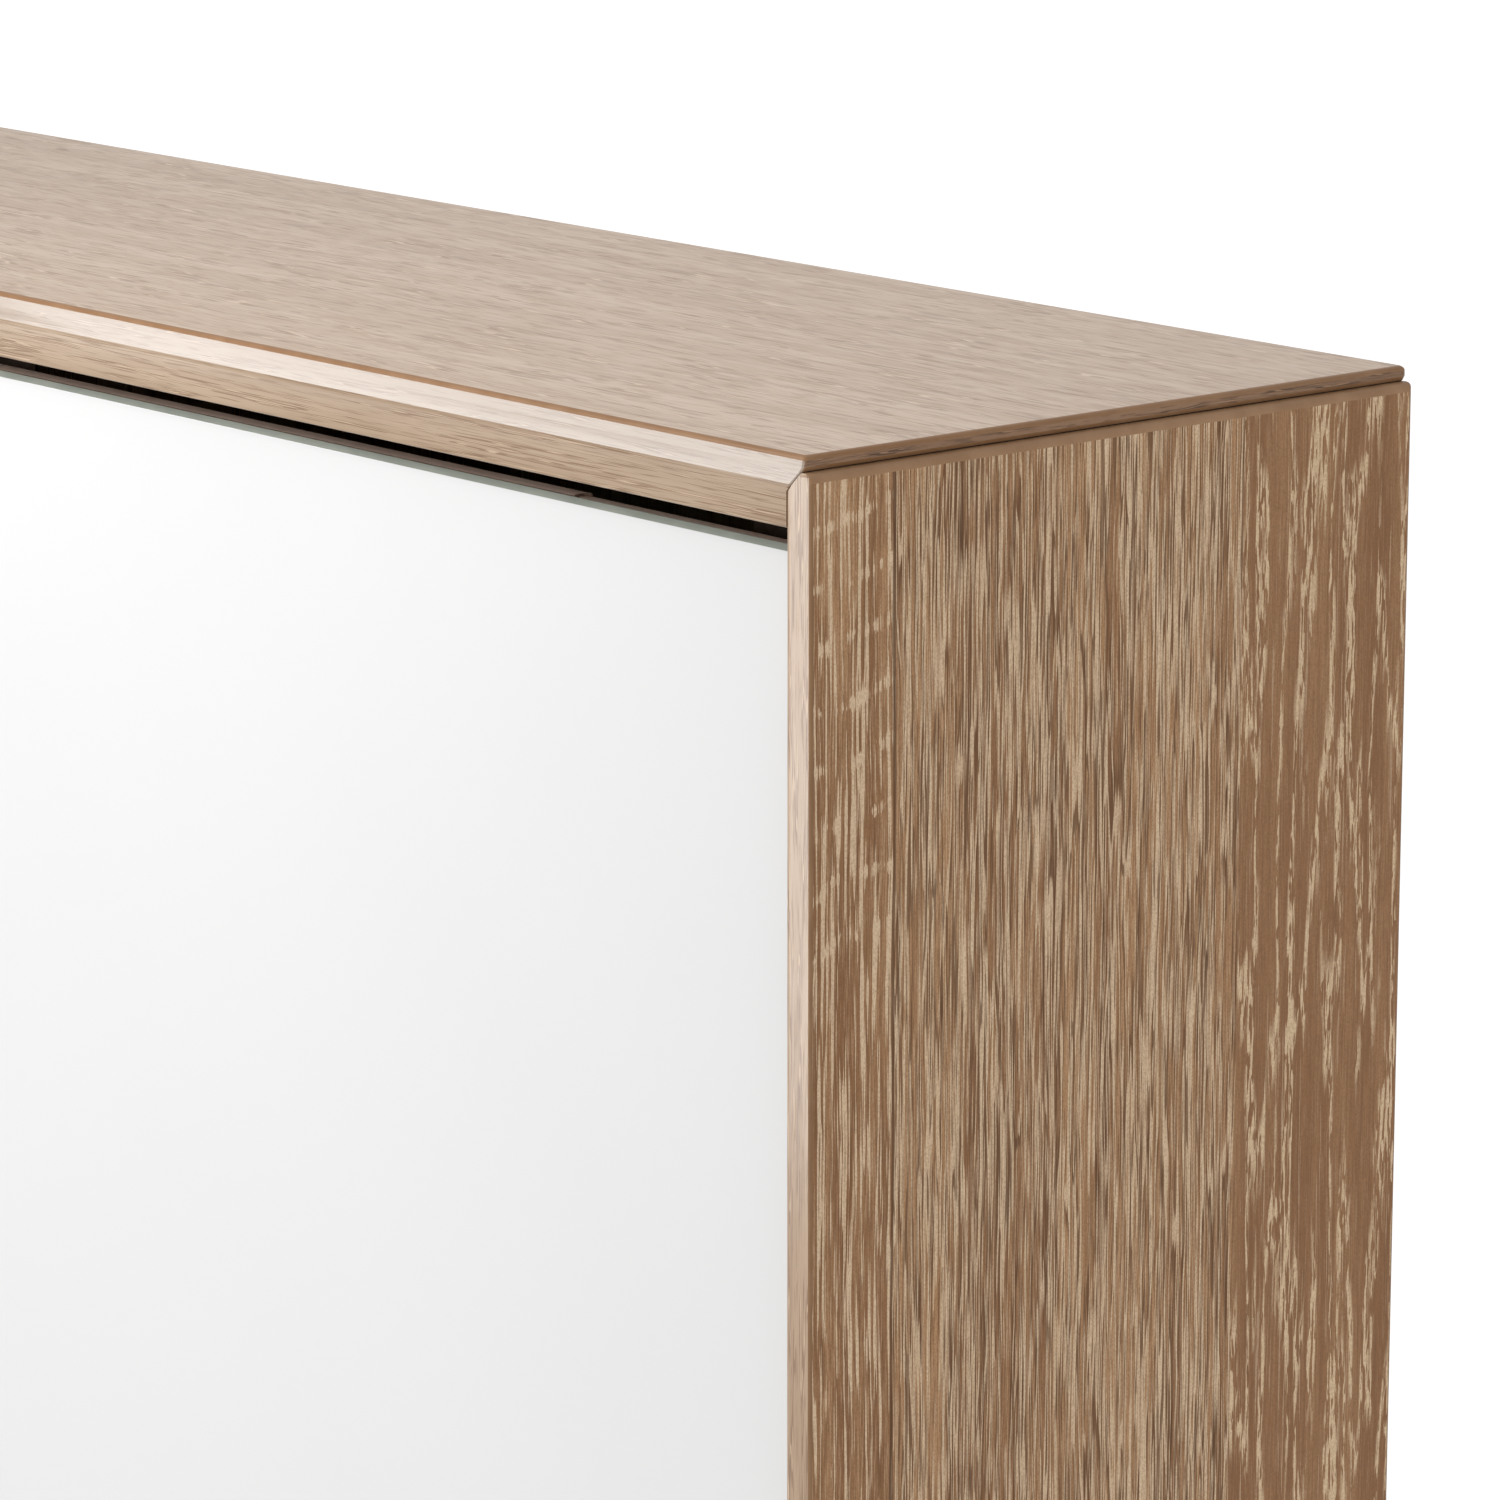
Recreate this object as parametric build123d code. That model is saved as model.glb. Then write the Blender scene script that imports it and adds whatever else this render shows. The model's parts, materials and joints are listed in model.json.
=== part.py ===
"""Wardrobe with two sliding glass doors, as an assembly of separate pieces.

Millimetres, +Z up, +X to the right seen from the front, the front faces -Y.
The origin is the middle of the footprint, on the floor.
Many places are counted from the outer faces of the carcass:
  from_front(v)  Y of a plane v behind the front face
  from_top(w)    Z of a plane w below the top face
"""

import os

from build123d import *

# ---- driving dimensions ----
WIDTH = 2250.0
DEPTH = 620.0
HEIGHT = 2200.0
BOARD = 25.0            # carcass boards
SHELF = 19.0
FASCIA_DROP = 54.5      # top face down to the fascia's lower edge
FASCIA_THICK = 19.0
FOOT_HEIGHT = 60.0
BACK_THICK = 4.0
BACK_INSET = 12.0       # back panels, in from the rear edges
GROOVE_DEPTH = 8.0

# front edge of the carcass boards: a slightly tilted band with a soft ridge
EDGE_TILT = 2.5
EDGE_RIDGE = 22.0
EDGE_RETURN = 0.8       # the band falls back this much from the ridge to the inner arris
OUTER_ARRIS = 3.0
TOP_ARRIS = 4.0
INNER_ARRIS = 2.0
RIDGE_ARRIS = 4.0
REAR_ARRIS = 1.5

# mitred corner between the top and a side, with its open V on the outside
END_INSET = 7.0         # end of the top, in from the side's outer face
MITRE_OFFSET = 2.5      # the mitre runs this far below the outer corner
V_DEPTH = 2.0
V_HEIGHT = 1.2
CROWN_TOP = 12.5        # the side's crown starts this far below the top face
CROWN_RADIUS = 7.0      # radius of the side's upper outer arris

# sliding doors, front to back
GLASS = 6.0
GLASS_BEVEL = 4.0       # on the pane's front face
GLASS_BEVEL_DEPTH = 5.0
BOND_GAP = 2.0          # thickness of the foam tape between the glass and the board
BOND_STRIPS = 5
BOND_WIDTH = 25.0
BOND_INSET = 20.0       # ends of the tape, in from the glass's top and bottom
BOND_END_INSET = 60.0
CARRIER = 16.0
DOOR_FRONT = 24.0       # front face of the front door behind the carcass front
DOOR_PITCH = 36.0       # from the front door to the rear door
DOOR_TOP = 74.5         # top of the door below the top face
DOOR_BOTTOM = 97.0      # bottom of the door above the floor
DOOR_OVERLAP = 40.0
DOOR_SIDE_GAP = 2.0
RECESS_LENGTH = 285.0   # lowered end of the carrier's top edge, under the track stop
RECESS_DEPTH = 2.4
RECESS_CORNER = 6.0
GRIP_WIDTH = 22.0
GRIP_WALL = 1.6

# running gear
WHEEL_RADIUS = 11.0
WHEEL_WIDTH = 8.0
WHEEL_TREAD_GROOVE = 1.2
WHEEL_GROOVE_HALF = 1.5
RUNNING_GAP = 0.3
AXLE_RADIUS = 3.0
AXLE_CLEARANCE = 0.05
WHEEL_SPACING = 34.0    # the two wheels of one hanger
WHEEL_REACH = 15.0      # wheel's front face ahead of the hanger plate
HANGER_WIDTH = 60.0
HANGER_INSET = 60.0     # hanger centre in from the door's end
HANGER_THICK = 2.5
HANGER_DROP = 70.0      # hanger plate down the carrier's rear face
HANGER_RISE = 8.0       # hanger plate above the axles' centres
HANGER_CORNER = 4.0
HANGER_SCREW_X = 18.0   # screws each side of the hanger's middle
HANGER_SCREW_DROPS = (16.0, 54.0)
AXLE_COLLAR = 2.0       # collars and heads stand this far beyond the axle all round
AXLE_HEAD = 1.5
SCREW_HEAD_RADIUS = 4.0
SCREW_HEAD = 2.0
SCREW_RADIUS = 2.0
SCREW_LENGTH = 14.0

# tracks
TRACK_WALL = 2.0
TRACK_DROP = 29.0       # track height under the top board
FLANGE_NEAR = 17.5      # flange that the wheels run on
FLANGE_FAR = 8.0
GUIDE_RIB = 6.0
GUIDE_SLOT = 4.0
GUIDE_LENGTH = 50.0     # plastic guide in the door's lower edge
GUIDE_HALF = 5.0
GUIDE_SUNK = 8.0        # guide up inside the door board
GUIDE_BELOW = 2.0
FIN_INSET = 5.0
FIN_PLAY = 0.4          # fin to the slot's wall
FIN_CLEAR = 1.0         # fin's tip above the track
TRACK_FRONT = DOOR_FRONT + 2.0
STOP_LENGTH = 30.0
TRACK_SCREW_X = (-1000.0, -600.0, -200.0, 200.0, 600.0, 1000.0)

# plinth, partition and dowels
GLIDE = 4.0             # sides stand this far off the floor
PLINTH_SET = 30.0
PLINTH_THICK = 16.0
INTERIOR_FRONT = 104.0  # front edges of the partition and shelves
PARTITION_HALF = 9.5    # half of the partition's thickness
DOWEL_RADIUS = 4.0
DOWEL_REACH = 12.0
DOWEL_PLACES = (150.0, 380.0, 560.0)  # depths behind the front
FILLET_FINE = 1.0
PANEL_HALF_GAP = 1.0    # half the gap between the two back panels
JOINER_HALF = 9.0       # half width of the profile over that gap
JOINER_WALL = 1.2

# interior fittings
UPPER_SHELF = 380.0     # underside of the top board down to the hat shelf's top
LOWER_SHELVES = (470.0, 855.0, 1240.0)  # underside heights in the right bay
SHELF_FRONT = INTERIOR_FRONT + 10.0
SHELF_REAR_GAP = 2.0
SHELF_GAP = 1.0         # shelf end to the board beside it
PIN_RADIUS = 2.5
PIN_REACH = 8.0
PIN_INSETS = (40.0, 60.0)  # pins behind the shelf's front, and ahead of the back panel
RAIL_DROP = 60.0        # hat shelf's underside down to the rail's centre
RAIL_HIGH = 15.0        # half height of the oval rail
RAIL_WIDE = 7.5
RAIL_WALL = 1.2
SOCKET_FLOOR = 2.0      # thickness of a rail socket behind the rail's end
SOCKET_RIM = 4.0
SOCKET_LIP = 12.0

# steel angles, feet and wall tabs
ANGLE_LEG = 40.0
ANGLE_WIDTH = 30.0
ANGLE_THICK = 2.5
ANGLE_SCREW = 28.0      # screws along each leg from the corner
ANGLE_DEPTHS = (150.0, 540.0)
FOOT_PLACES = (-900.0, 0.0, 900.0)
FOOT_DEPTHS = (90.0, 520.0)
FOOT_PAD = (25.0, 8.0)      # radius and height of the pad on the floor
FOOT_STEM = 14.0
FOOT_FLANGE = (22.0, 6.0)   # radius and thickness of the flange under the board
GLIDE_RADIUS = 9.0
GLIDE_INSET = 60.0
WALL_TAB_X = 700.0
WALL_TAB_HALF = 20.0
WALL_TAB_THICK = 2.0
WALL_TAB_DROP = 42.0
WALL_HOLE = (3.25, 24.0)    # radius, and centre below the top board's underside

HALF_W = WIDTH / 2
INNER_X = HALF_W - BOARD
BACK_FRONT = DEPTH - BACK_INSET - BACK_THICK
FLOOR_TOP = FOOT_HEIGHT + BOARD
DOOR_X = INNER_X - DOOR_SIDE_GAP      # outer end of a closed door
DOOR_LENGTH = DOOR_X + DOOR_OVERLAP / 2
CARRIER_FRONT = GLASS + BOND_GAP      # board's front face behind the glass's
CARRIER_BACK = CARRIER_FRONT + CARRIER
TRACK_END = INNER_X - 1.0
SIDES = (-1, 1)


def from_front(v):
    return v - DEPTH / 2


def from_top(w):
    return HEIGHT - w


def block(x0, x1, v0, v1, z0, z1):
    """A board between two X, two depths behind the front, and two heights."""
    centre = Pos((x0 + x1) / 2, from_front((v0 + v1) / 2), (z0 + z1) / 2)
    return centre * Box(abs(x1 - x0), abs(v1 - v0), abs(z1 - z0))


def rod(radius, length, direction):
    """A round bar from the origin along X, Y or Z."""
    bar = Cylinder(radius, length, align=(Align.CENTER, Align.CENTER, Align.MIN))
    turn = {"x": Rot(0, 90, 0), "y": Rot(-90, 0, 0), "z": Rot(0, 0, 0)}[direction]
    return turn * bar


def screw(direction):
    """A pan head screw: the head's underside is at the origin, the shank goes along direction."""
    along = {"x": (1, 0, 0), "y": (0, 1, 0), "z": (0, 0, 1)}[direction.strip("-")]
    sign = -1 if direction.startswith("-") else 1
    shank = rod(SCREW_RADIUS, SCREW_LENGTH, direction.strip("-"))
    head = rod(SCREW_HEAD_RADIUS, SCREW_HEAD, direction.strip("-"))
    head = Pos(*[-SCREW_HEAD * a for a in along]) * head
    body = head + shank
    if sign < 0:
        mirrored = Plane.YZ if along[0] else Plane.XZ if along[1] else Plane.XY
        body = mirror(body, about=mirrored)
    return body


def outline(points, radii):
    """A closed outline through the points, each corner rounded by its radius."""
    face = make_face(Polyline(*points, close=True))
    for point, radius in zip(points, radii):
        if radius:
            corner = face.vertices().sort_by_distance(Vector(*point))[0]
            face = fillet(corner, radius)
    return face


def xy_prism(points, radii, z0, z1):
    return Pos(0, 0, z0) * extrude(outline(points, radii), z1 - z0)


def xz_prism(points, radii, v0, v1):
    solid = extrude(outline(points, radii), v1 - v0)
    return Pos(0, from_front(v1), 0) * (Rot(90, 0, 0) * solid)


def yz_prism(points, radii, x0, x1):
    """Points are (v, z); the prism runs from x0 to x1."""
    places = [(from_front(v), z) for v, z in points]
    solid = extrude(outline(places, radii), x1 - x0)
    return Pos(x0, 0, 0) * (Rot(0, 90, 0) * (Rot(0, 0, 90) * solid))


# ---- carcass boards ----
def side_panel(side):
    """Side board: profiled front edge, and a mitred top with a rounded brown arris."""
    plan = [(0, DEPTH), (0, EDGE_TILT), (EDGE_RIDGE, 0), (BOARD, EDGE_RETURN), (BOARD, DEPTH)]
    plan = [(side * (HALF_W - u), from_front(v)) for u, v in plan]
    radii = [REAR_ARRIS, OUTER_ARRIS, RIDGE_ARRIS, INNER_ARRIS, 0]
    board = xy_prism(plan, radii, GLIDE, HEIGHT)
    end = [
        (0, HEIGHT - GLIDE),
        (0, CROWN_TOP),
        (CROWN_TOP - MITRE_OFFSET, CROWN_TOP),
        (BOARD, BOARD + MITRE_OFFSET),
        (BOARD, HEIGHT - GLIDE),
    ]
    end = [(side * (HALF_W - u), from_top(w)) for u, w in end]
    board &= xz_prism(end, [0, CROWN_RADIUS, 0, 0, 0], 0, DEPTH)
    board -= back_groove(side * INNER_X, side * (INNER_X + GROOVE_DEPTH), FLOOR_TOP, from_top(BOARD))
    return board


def back_groove(x0, x1, z0, z1):
    return block(x0, x1, BACK_FRONT, BACK_FRONT + BACK_THICK, z0, z1)


def top_panel():
    """Top board: mitred ends, set in from the sides' outer faces above the V."""
    section = [(DEPTH, 0), (EDGE_TILT, 0), (0, EDGE_RIDGE), (0, BOARD), (DEPTH, BOARD)]
    section = [(v, from_top(w)) for v, w in section]
    board = yz_prism(section, [TOP_ARRIS, TOP_ARRIS, 0, 0, 0], -HALF_W, HALF_W)
    half = [
        (END_INSET, 0),
        (END_INSET, END_INSET + MITRE_OFFSET - V_HEIGHT),
        (END_INSET + V_DEPTH, END_INSET + MITRE_OFFSET + V_DEPTH),
        (BOARD - MITRE_OFFSET, BOARD),
    ]
    left = [(u - HALF_W, from_top(w)) for u, w in half]
    right = [(HALF_W - u, from_top(w)) for u, w in reversed(half)]
    radii = [TOP_ARRIS, 0, 0, 0, 0, 0, 0, TOP_ARRIS]
    return board & xz_prism(left + right, radii, 0, DEPTH)


def top_fascia():
    """Strip under the top's front edge that hides the track; its ends follow the mitre."""
    start = BOARD - MITRE_OFFSET
    half = [(start, BOARD), (BOARD, BOARD + MITRE_OFFSET), (BOARD, FASCIA_DROP)]
    left = [(u - HALF_W, from_top(w)) for u, w in half]
    right = [(HALF_W - u, from_top(w)) for u, w in reversed(half)]
    return xz_prism(left + right, [0] * 6, 0, FASCIA_THICK)


def bottom_panel():
    """Bottom board between the sides, its front edge profiled like the top's."""
    section = [
        (BACK_FRONT, FOOT_HEIGHT),
        (FILLET_FINE, FOOT_HEIGHT),
        (0, FOOT_HEIGHT + BOARD - EDGE_RIDGE),
        (EDGE_TILT, FLOOR_TOP),
        (BACK_FRONT, FLOOR_TOP),
    ]
    return yz_prism(section, [0, FILLET_FINE, 0, OUTER_ARRIS, 0], -INNER_X, INNER_X)


def plinths():
    """Plinth boards under the bottom panel, set back from the front and the rear."""
    front = block(-INNER_X, INNER_X, PLINTH_SET, PLINTH_SET + PLINTH_THICK, GLIDE, FOOT_HEIGHT)
    rear_v = BACK_FRONT - PLINTH_SET
    rear = block(-INNER_X, INNER_X, rear_v - PLINTH_THICK, rear_v, GLIDE, FOOT_HEIGHT)
    return {"plinth_front": front, "plinth_rear": rear}


def dowels():
    """Wooden dowels that stand between the partition and the boards above and below it."""
    pegs = []
    for height in (FLOOR_TOP, from_top(BOARD)):
        for place in DOWEL_PLACES:
            peg = rod(DOWEL_RADIUS, 2 * DOWEL_REACH, "z")
            pegs.append(Pos(0, from_front(place), height - DOWEL_REACH) * peg)
    return pegs


def partition():
    """Upright in the middle, between the bottom and the top, up against the back panels."""
    return block(
        -PARTITION_HALF, PARTITION_HALF, INTERIOR_FRONT, BACK_FRONT, FLOOR_TOP, from_top(BOARD)
    )


def back_panels():
    """Two thin back panels in the sides' grooves, and the profile that joins them."""
    reach = INNER_X + GROOVE_DEPTH
    z0, z1 = FLOOR_TOP - BOARD, from_top(BOARD)
    v0, v1 = BACK_FRONT, BACK_FRONT + BACK_THICK
    panels = {}
    for name, side in (("left", -1), ("right", 1)):
        panel = block(side * PANEL_HALF_GAP, side * INNER_X, v0, v1, z0, z1)
        panel += block(side * INNER_X, side * reach, v0, v1, FLOOR_TOP, z1)
        panels["back_panel_" + name] = panel
    web = block(-PANEL_HALF_GAP, PANEL_HALF_GAP, v0, v1, z0, z1)
    strip = block(-JOINER_HALF, JOINER_HALF, v1, v1 + JOINER_WALL, z0, z1)
    panels["back_joining_profile"] = web + strip
    return panels


# ---- interior ----
def shelf_heights():
    """Underside heights of the shelves of each bay."""
    hat = from_top(BOARD + UPPER_SHELF) - SHELF
    return {-1: {"hat_shelf_left": hat}, 1: {
        "hat_shelf_right": hat,
        "shelf_right_lower": LOWER_SHELVES[0],
        "shelf_right_middle": LOWER_SHELVES[1],
        "shelf_right_upper": LOWER_SHELVES[2],
    }}


def shelves():
    boards = {}
    for side, bay in shelf_heights().items():
        x0, x1 = side * (PARTITION_HALF + SHELF_GAP), side * (INNER_X - SHELF_GAP)
        for name, z in bay.items():
            board = block(x0, x1, SHELF_FRONT, BACK_FRONT - SHELF_REAR_GAP, z, z + SHELF)
            front_edges = board.edges().filter_by(Axis.X).group_by(Axis.Y)[0]
            boards[name] = fillet(front_edges, FILLET_FINE)
    return boards


def shelf_pins():
    """Steel pins under the shelves' corners, half in the boards beside them."""
    pins = []
    places = (SHELF_FRONT + PIN_INSETS[0], BACK_FRONT - PIN_INSETS[1])
    for side, bay in shelf_heights().items():
        for z in bay.values():
            for place in places:
                for wall, into in ((PARTITION_HALF, -1), (INNER_X, 1)):
                    start = side * (wall + into * PIN_REACH)
                    end = side * (wall - into * (PIN_REACH + SHELF_GAP))
                    pin = rod(PIN_RADIUS, abs(end - start), "x")
                    y, height = from_front(place), z - PIN_RADIUS
                    pins.append(Pos(min(start, end), y, height) * pin)
    return pins


def clothes_rail():
    """Oval tube under the left bay's hat shelf."""
    z = shelf_heights()[-1]["hat_shelf_left"] - RAIL_DROP
    y = from_front((SHELF_FRONT + BACK_FRONT) / 2)
    x0, x1 = -INNER_X + SOCKET_FLOOR, -PARTITION_HALF - SOCKET_FLOOR
    section = SlotOverall(2 * RAIL_HIGH, 2 * RAIL_WIDE)
    section -= SlotOverall(2 * (RAIL_HIGH - RAIL_WALL), 2 * (RAIL_WIDE - RAIL_WALL))
    tube = Rot(0, 90, 0) * extrude(section, x1 - x0)
    return Pos(x0, y, z) * tube


def rail_sockets():
    """Oval cups on the side and the partition that the rail's ends sit in."""
    z = shelf_heights()[-1]["hat_shelf_left"] - RAIL_DROP
    y = from_front((SHELF_FRONT + BACK_FRONT) / 2)
    cups = []
    outer = SlotOverall(2 * (RAIL_HIGH + SOCKET_RIM), 2 * (RAIL_WIDE + SOCKET_RIM))
    inner = SlotOverall(2 * RAIL_HIGH, 2 * RAIL_WIDE)
    for wall, into in ((-INNER_X, 1), (-PARTITION_HALF, -1)):
        cup = extrude(outer, SOCKET_LIP)
        cup -= Pos(0, 0, SOCKET_FLOOR) * extrude(inner, SOCKET_LIP - SOCKET_FLOOR)
        turn = Rot(0, 90 * into, 0)
        cups.append(Pos(wall, y, z) * (turn * cup))
    return cups


# ---- tracks ----
def channel(v):
    """One running channel of the top track: a wall, and two flanges with a slot between."""
    z0, z1 = from_top(BOARD + TRACK_DROP), from_top(BOARD)
    near = block(-TRACK_END, TRACK_END, v, v + FLANGE_NEAR, z0, z0 + TRACK_WALL)
    end = v + DOOR_PITCH
    far = block(-TRACK_END, TRACK_END, end - FLANGE_FAR, end, z0, z0 + TRACK_WALL)
    wall = block(-TRACK_END, TRACK_END, v, v + TRACK_WALL, z0, z1)
    return near + far + wall


def top_track():
    """Aluminium double track under the top board, one channel for each door."""
    roof = from_top(BOARD)
    end = TRACK_FRONT + 2 * DOOR_PITCH
    track = block(-TRACK_END, TRACK_END, TRACK_FRONT, end, roof - TRACK_WALL, roof)
    track += channel(TRACK_FRONT)
    track += channel(TRACK_FRONT + DOOR_PITCH)
    z0 = from_top(BOARD + TRACK_DROP)
    return track + block(-TRACK_END, TRACK_END, end, end + TRACK_WALL, z0, roof)


def track_stops():
    """Rubber blocks in the ends of both channels."""
    stops = []
    top = from_top(BOARD + TRACK_WALL)
    low = from_top(BOARD + TRACK_DROP - TRACK_WALL)
    for v in (TRACK_FRONT, TRACK_FRONT + DOOR_PITCH):
        for side in SIDES:
            x0, x1 = side * (TRACK_END - STOP_LENGTH), side * TRACK_END
            stops.append(block(x0, x1, v + TRACK_WALL, v + DOOR_PITCH, low, top))
    return stops


def bottom_track():
    """Low aluminium strip on the bottom board with a guide slot for each door."""
    end = guide_middle(1) + TRACK_FRONT - DOOR_FRONT + CARRIER
    strip = block(-TRACK_END, TRACK_END, TRACK_FRONT, end, FLOOR_TOP, FLOOR_TOP + TRACK_WALL)
    for door in (0, 1):
        middle = guide_middle(door)
        for side in SIDES:
            inner = middle + side * GUIDE_SLOT / 2
            outer = inner + side * TRACK_WALL
            strip += block(
                -TRACK_END, TRACK_END, min(inner, outer), max(inner, outer),
                FLOOR_TOP + TRACK_WALL, FLOOR_TOP + TRACK_WALL + GUIDE_RIB,
            )
    return strip


def guide_middle(door):
    """Depth of the middle of a door's carrier, where its bottom guides run."""
    return DOOR_FRONT + door * DOOR_PITCH + CARRIER_FRONT + CARRIER / 2


def track_screws():
    """Screws up through both channels' roofs into the top board."""
    screws = []
    for x in TRACK_SCREW_X:
        for door in (0, 1):
            v = TRACK_FRONT + (door + 0.5) * DOOR_PITCH
            place = Pos(x, from_front(v), from_top(BOARD + TRACK_WALL))
            screws.append(place * screw("z"))
    return screws


# ---- fittings of the carcass ----
def angle_places():
    """Each steel angle's inner corner: X, depth, Z, and the ways its legs point."""
    places = []
    for side in SIDES:
        for v in ANGLE_DEPTHS:
            places.append((side * INNER_X, v, from_top(BOARD), -side, -1))
            places.append((side * INNER_X, v, FOOT_HEIGHT, -side, -1))
    return places


def corner_angles():
    angles = []
    for x, v, z, ix, iz in angle_places():
        half = ANGLE_WIDTH / 2
        upright = block(x, x + ix * ANGLE_THICK, v - half, v + half, z, z + iz * ANGLE_LEG)
        flat = block(x, x + ix * ANGLE_LEG, v - half, v + half, z, z + iz * ANGLE_THICK)
        angles.append(upright + flat)
    return angles


def angle_screws():
    screws = []
    for x, v, z, ix, iz in angle_places():
        toward = "x" if ix < 0 else "-x"
        place = Pos(x + ix * ANGLE_THICK, from_front(v), z + iz * ANGLE_SCREW)
        screws.append(place * screw(toward))
        place = Pos(x + ix * ANGLE_SCREW, from_front(v), z + iz * ANGLE_THICK)
        screws.append(place * screw("z"))
    return screws


def levelling_feet():
    """Round plastic feet under the bottom board, each with its wide pad on the floor."""
    feet = []
    for x in FOOT_PLACES:
        for v in FOOT_DEPTHS:
            foot = rod(*FOOT_PAD, "z") + rod(FOOT_STEM, FOOT_HEIGHT, "z")
            foot += Pos(0, 0, FOOT_HEIGHT - FOOT_FLANGE[1]) * rod(*FOOT_FLANGE, "z")
            feet.append(Pos(x, from_front(v), 0) * foot)
    return feet


def side_glides():
    """Plastic glides nailed under the side boards."""
    glides = []
    for side in SIDES:
        for v in (GLIDE_INSET, DEPTH - GLIDE_INSET):
            glide = rod(GLIDE_RADIUS, GLIDE, "z")
            glides.append(Pos(side * (HALF_W - BOARD / 2), from_front(v), 0) * glide)
    return glides


def wall_tabs():
    """Steel tabs behind the top board that tie the wardrobe to a wall."""
    tabs = []
    under = from_top(BOARD)
    v0, v1 = BACK_FRONT + BACK_THICK, DEPTH - WALL_TAB_THICK
    hole_radius, hole_drop = WALL_HOLE
    for side in SIDES:
        middle = side * WALL_TAB_X
        x0, x1 = middle - WALL_TAB_HALF, middle + WALL_TAB_HALF
        tab = block(x0, x1, v0, DEPTH, under - WALL_TAB_THICK, under)
        tab += block(x0, x1, v1, DEPTH, under - WALL_TAB_DROP, under)
        hole = rod(hole_radius, WALL_TAB_THICK, "y")
        tab -= Pos(middle, from_front(v1), under - hole_drop) * hole
        tabs.append(tab)
    return tabs


# ---- doors ----
def door_span(side):
    """Left and right X of a closed door."""
    near = side * DOOR_X
    far = side * (DOOR_X - DOOR_LENGTH)
    return min(near, far), max(near, far)


def glass_pane(side, front):
    """Back-painted pane with a polished bevel all round its front."""
    x0, x1 = door_span(side)
    pane = block(x0 + GRIP_WALL, x1, front, front + GLASS, DOOR_BOTTOM, from_top(DOOR_TOP))
    face = pane.faces().sort_by(Axis.Y)[0]
    return chamfer(face.edges(), GLASS_BEVEL, GLASS_BEVEL_DEPTH, reference=face)


def carrier_board(side, front):
    """Door board behind the glass, its top edge lowered at the door's closed end."""
    x0, x1 = door_span(side)
    v0, v1 = front + CARRIER_FRONT, front + CARRIER_BACK
    top = from_top(DOOR_TOP)
    board = block(x0 + GRIP_WALL, x1, v0, v1, DOOR_BOTTOM, top)
    outer = side * DOOR_X
    inner = outer - side * RECESS_LENGTH
    corners = [(outer, v0), (inner, v0), (inner, v1), (outer, v1)]
    plan = [(x, from_front(v)) for x, v in corners]
    radii = [0, RECESS_CORNER, RECESS_CORNER, 0]
    return board - xy_prism(plan, radii, top - RECESS_DEPTH, top)


def bond_strips(side, front):
    """Foam tape that holds the glass off the board."""
    x0, x1 = door_span(side)
    v0, v1 = front + GLASS, front + CARRIER_FRONT
    z0, z1 = DOOR_BOTTOM + BOND_INSET, from_top(DOOR_TOP + BOND_INSET)
    pitch = (x1 - x0 - 2 * BOND_END_INSET) / (BOND_STRIPS - 1)
    strips = []
    for i in range(BOND_STRIPS):
        x = x0 + BOND_END_INSET + i * pitch
        strips.append(block(x - BOND_WIDTH / 2, x + BOND_WIDTH / 2, v0, v1, z0, z1))
    return strips


def grip_profile(side, front):
    """Aluminium channel on the door's left edge, one wall each side of the door."""
    x0, _ = door_span(side)
    back = front + CARRIER_BACK
    z0, z1 = DOOR_BOTTOM, from_top(DOOR_TOP)
    shape = block(x0, x0 + GRIP_WALL, front - GRIP_WALL, back + GRIP_WALL, z0, z1)
    shape += block(x0, x0 + GRIP_WIDTH, front - GRIP_WALL, front, z0, z1)
    shape += block(x0, x0 + GRIP_WIDTH, back, back + GRIP_WALL, z0, z1)
    return shape


def hanger_places(side):
    x0, x1 = door_span(side)
    return (x0 + HANGER_INSET, x1 - HANGER_INSET)


def axle_height():
    return from_top(BOARD + TRACK_DROP - TRACK_WALL) + RUNNING_GAP + WHEEL_RADIUS


def axle_places(side):
    """X of the four axles of a door, left to right."""
    return [x + end * WHEEL_SPACING / 2 for x in hanger_places(side) for end in SIDES]


def hangers(side, front):
    """Steel plates up from the board's rear face through the track's slot to the axles."""
    v0 = front + CARRIER_BACK
    low, high = from_top(DOOR_TOP + HANGER_DROP), axle_height() + HANGER_RISE
    plates = []
    for x in hanger_places(side):
        x0, x1 = x - HANGER_WIDTH / 2, x + HANGER_WIDTH / 2
        plate = block(x0, x1, v0, v0 + HANGER_THICK, low, high)
        plate = fillet(plate.edges().filter_by(Axis.Y), HANGER_CORNER)
        for end in SIDES:
            hole = rod(AXLE_RADIUS, HANGER_THICK, "y")
            plate -= Pos(x + end * WHEEL_SPACING / 2, from_front(v0), axle_height()) * hole
        plates.append(plate)
    return plates


def axles(side, front):
    """Riveted axles, each with a collar before the wheel, a shoulder behind it and a head."""
    v0 = front + CARRIER_BACK
    wheel_v = v0 - WHEEL_REACH
    head_radius = AXLE_RADIUS + AXLE_COLLAR
    start, end = wheel_v - RUNNING_GAP - AXLE_HEAD, v0 + HANGER_THICK
    shoulder = wheel_v + WHEEL_WIDTH + RUNNING_GAP
    pin = Pos(0, from_front(start), 0) * rod(AXLE_RADIUS, end - start, "y")
    pin += Pos(0, from_front(start), 0) * rod(head_radius, AXLE_HEAD, "y")
    pin += Pos(0, from_front(shoulder), 0) * rod(head_radius, v0 - shoulder, "y")
    pin += Pos(0, from_front(end), 0) * rod(head_radius, AXLE_HEAD, "y")
    return [Pos(x, 0, axle_height()) * pin for x in axle_places(side)]


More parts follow.
